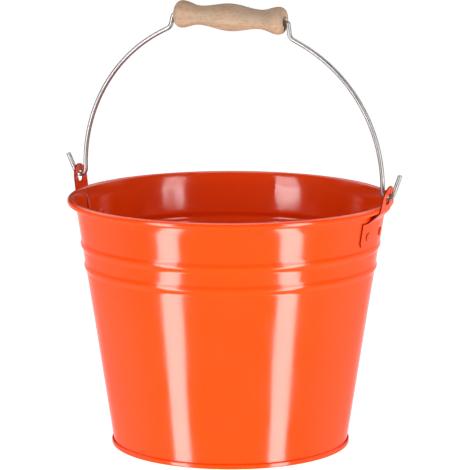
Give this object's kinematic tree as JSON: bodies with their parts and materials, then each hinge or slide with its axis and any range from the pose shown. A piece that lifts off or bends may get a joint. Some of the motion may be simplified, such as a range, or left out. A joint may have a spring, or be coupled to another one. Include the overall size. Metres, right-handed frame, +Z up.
{
  "type": "sand bucket",
  "caption": "Small conical metal bucket with a rolled rim, riveted ears, and a wire bail that swings and carries a turned wooden grip.",
  "frame": {"origin": "on the bucket's axis, at the flat underside of the foot seam, which is the middle of the whole object's base", "axes": "+Z up; X runs through both ears, along the line that the bail swings about; +Y towards one side of the mouth"},
  "size_m": [0.2233, 0.2016, 0.2748],
  "materials": {
    "paint": "gloss orange-red enamel",
    "hard_wire": "plain drawn wire, enclosed in the rim",
    "zinc_wire": "bright zinc-plated drawn wire",
    "beech": "turned and sanded, unvarnished"
  },
  "bodies": {
    "pail": {"pail_wall": "paint", "rim_wire": "hard_wire", "pail_bottom": "paint", "ear_left": "paint", "ear_right": "paint", "rivets_left": "paint", "rivets_right": "paint"},
    "bail": {"bail_wire": "zinc_wire"},
    "grip": {"grip": "beech"}
  },
  "joints": [
    {"name": "bail_swing", "type": "hinge", "parent": "pail", "child": "bail", "pos_m": [0, 0, 0.16141], "axis": [0.9999, 0, -0.0117], "range_deg": [-89, 89]},
    {"name": "grip_spin", "type": "hinge", "parent": "bail", "child": "grip", "pos_m": [0, 0, 0.2654], "axis": [0.9996, 0, -0.0279], "continuous": true}
  ]
}
